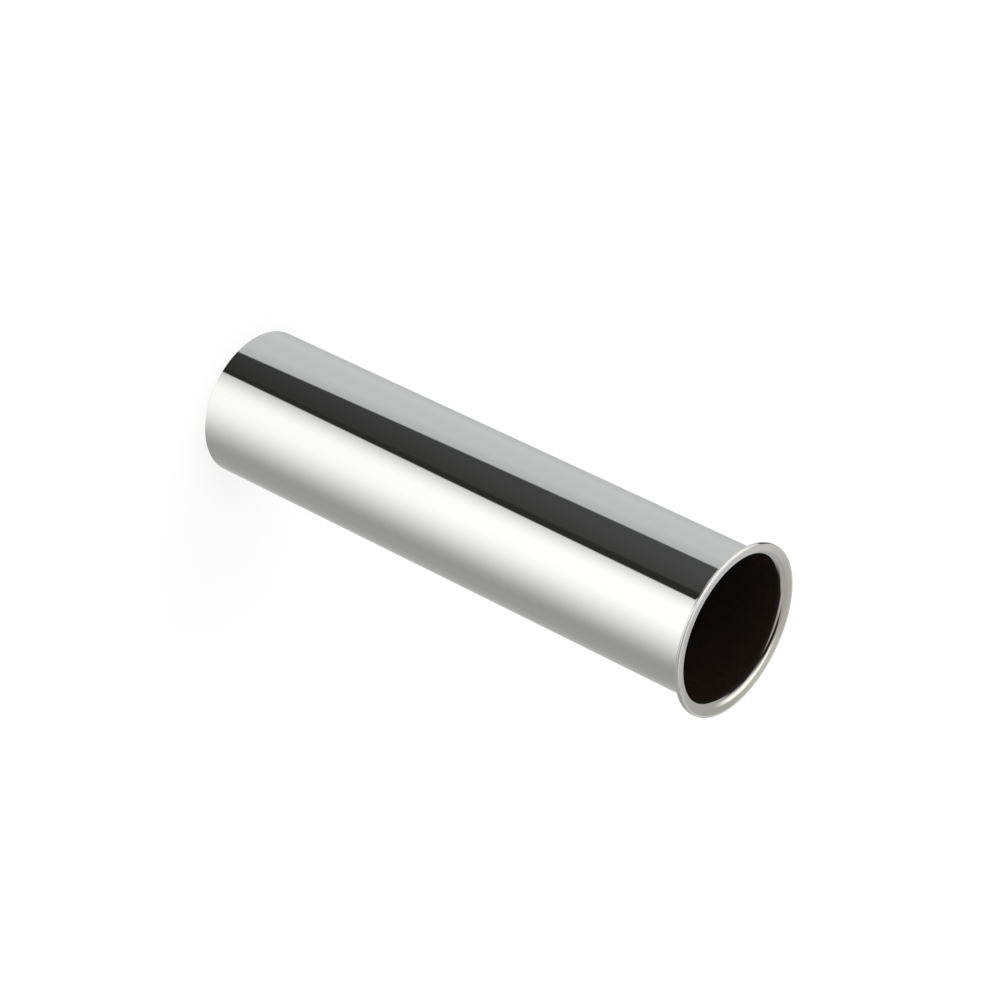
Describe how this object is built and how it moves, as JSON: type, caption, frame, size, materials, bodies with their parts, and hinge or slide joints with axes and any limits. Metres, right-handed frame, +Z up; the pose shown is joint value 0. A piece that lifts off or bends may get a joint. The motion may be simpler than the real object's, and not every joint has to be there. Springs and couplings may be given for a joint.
{
  "type": "basin waste tail pipe",
  "caption": "Straight round tail pipe, open at both ends, with a flared flange at the top; carries water from a basin waste down into a trap.",
  "frame": {"origin": "centre of the plain cut end that the pipe stands on", "axes": "+Z runs up the pipe's axis to the flange, as it hangs under a basin; the pipe is round, so X and Y are free"},
  "size_m": [0.037, 0.037, 0.128],
  "materials": {
    "plated_brass": "bright polished chrome plate on brass tube"
  },
  "bodies": {
    "root": {"tail_pipe": "plated_brass"}
  },
  "joints": []
}
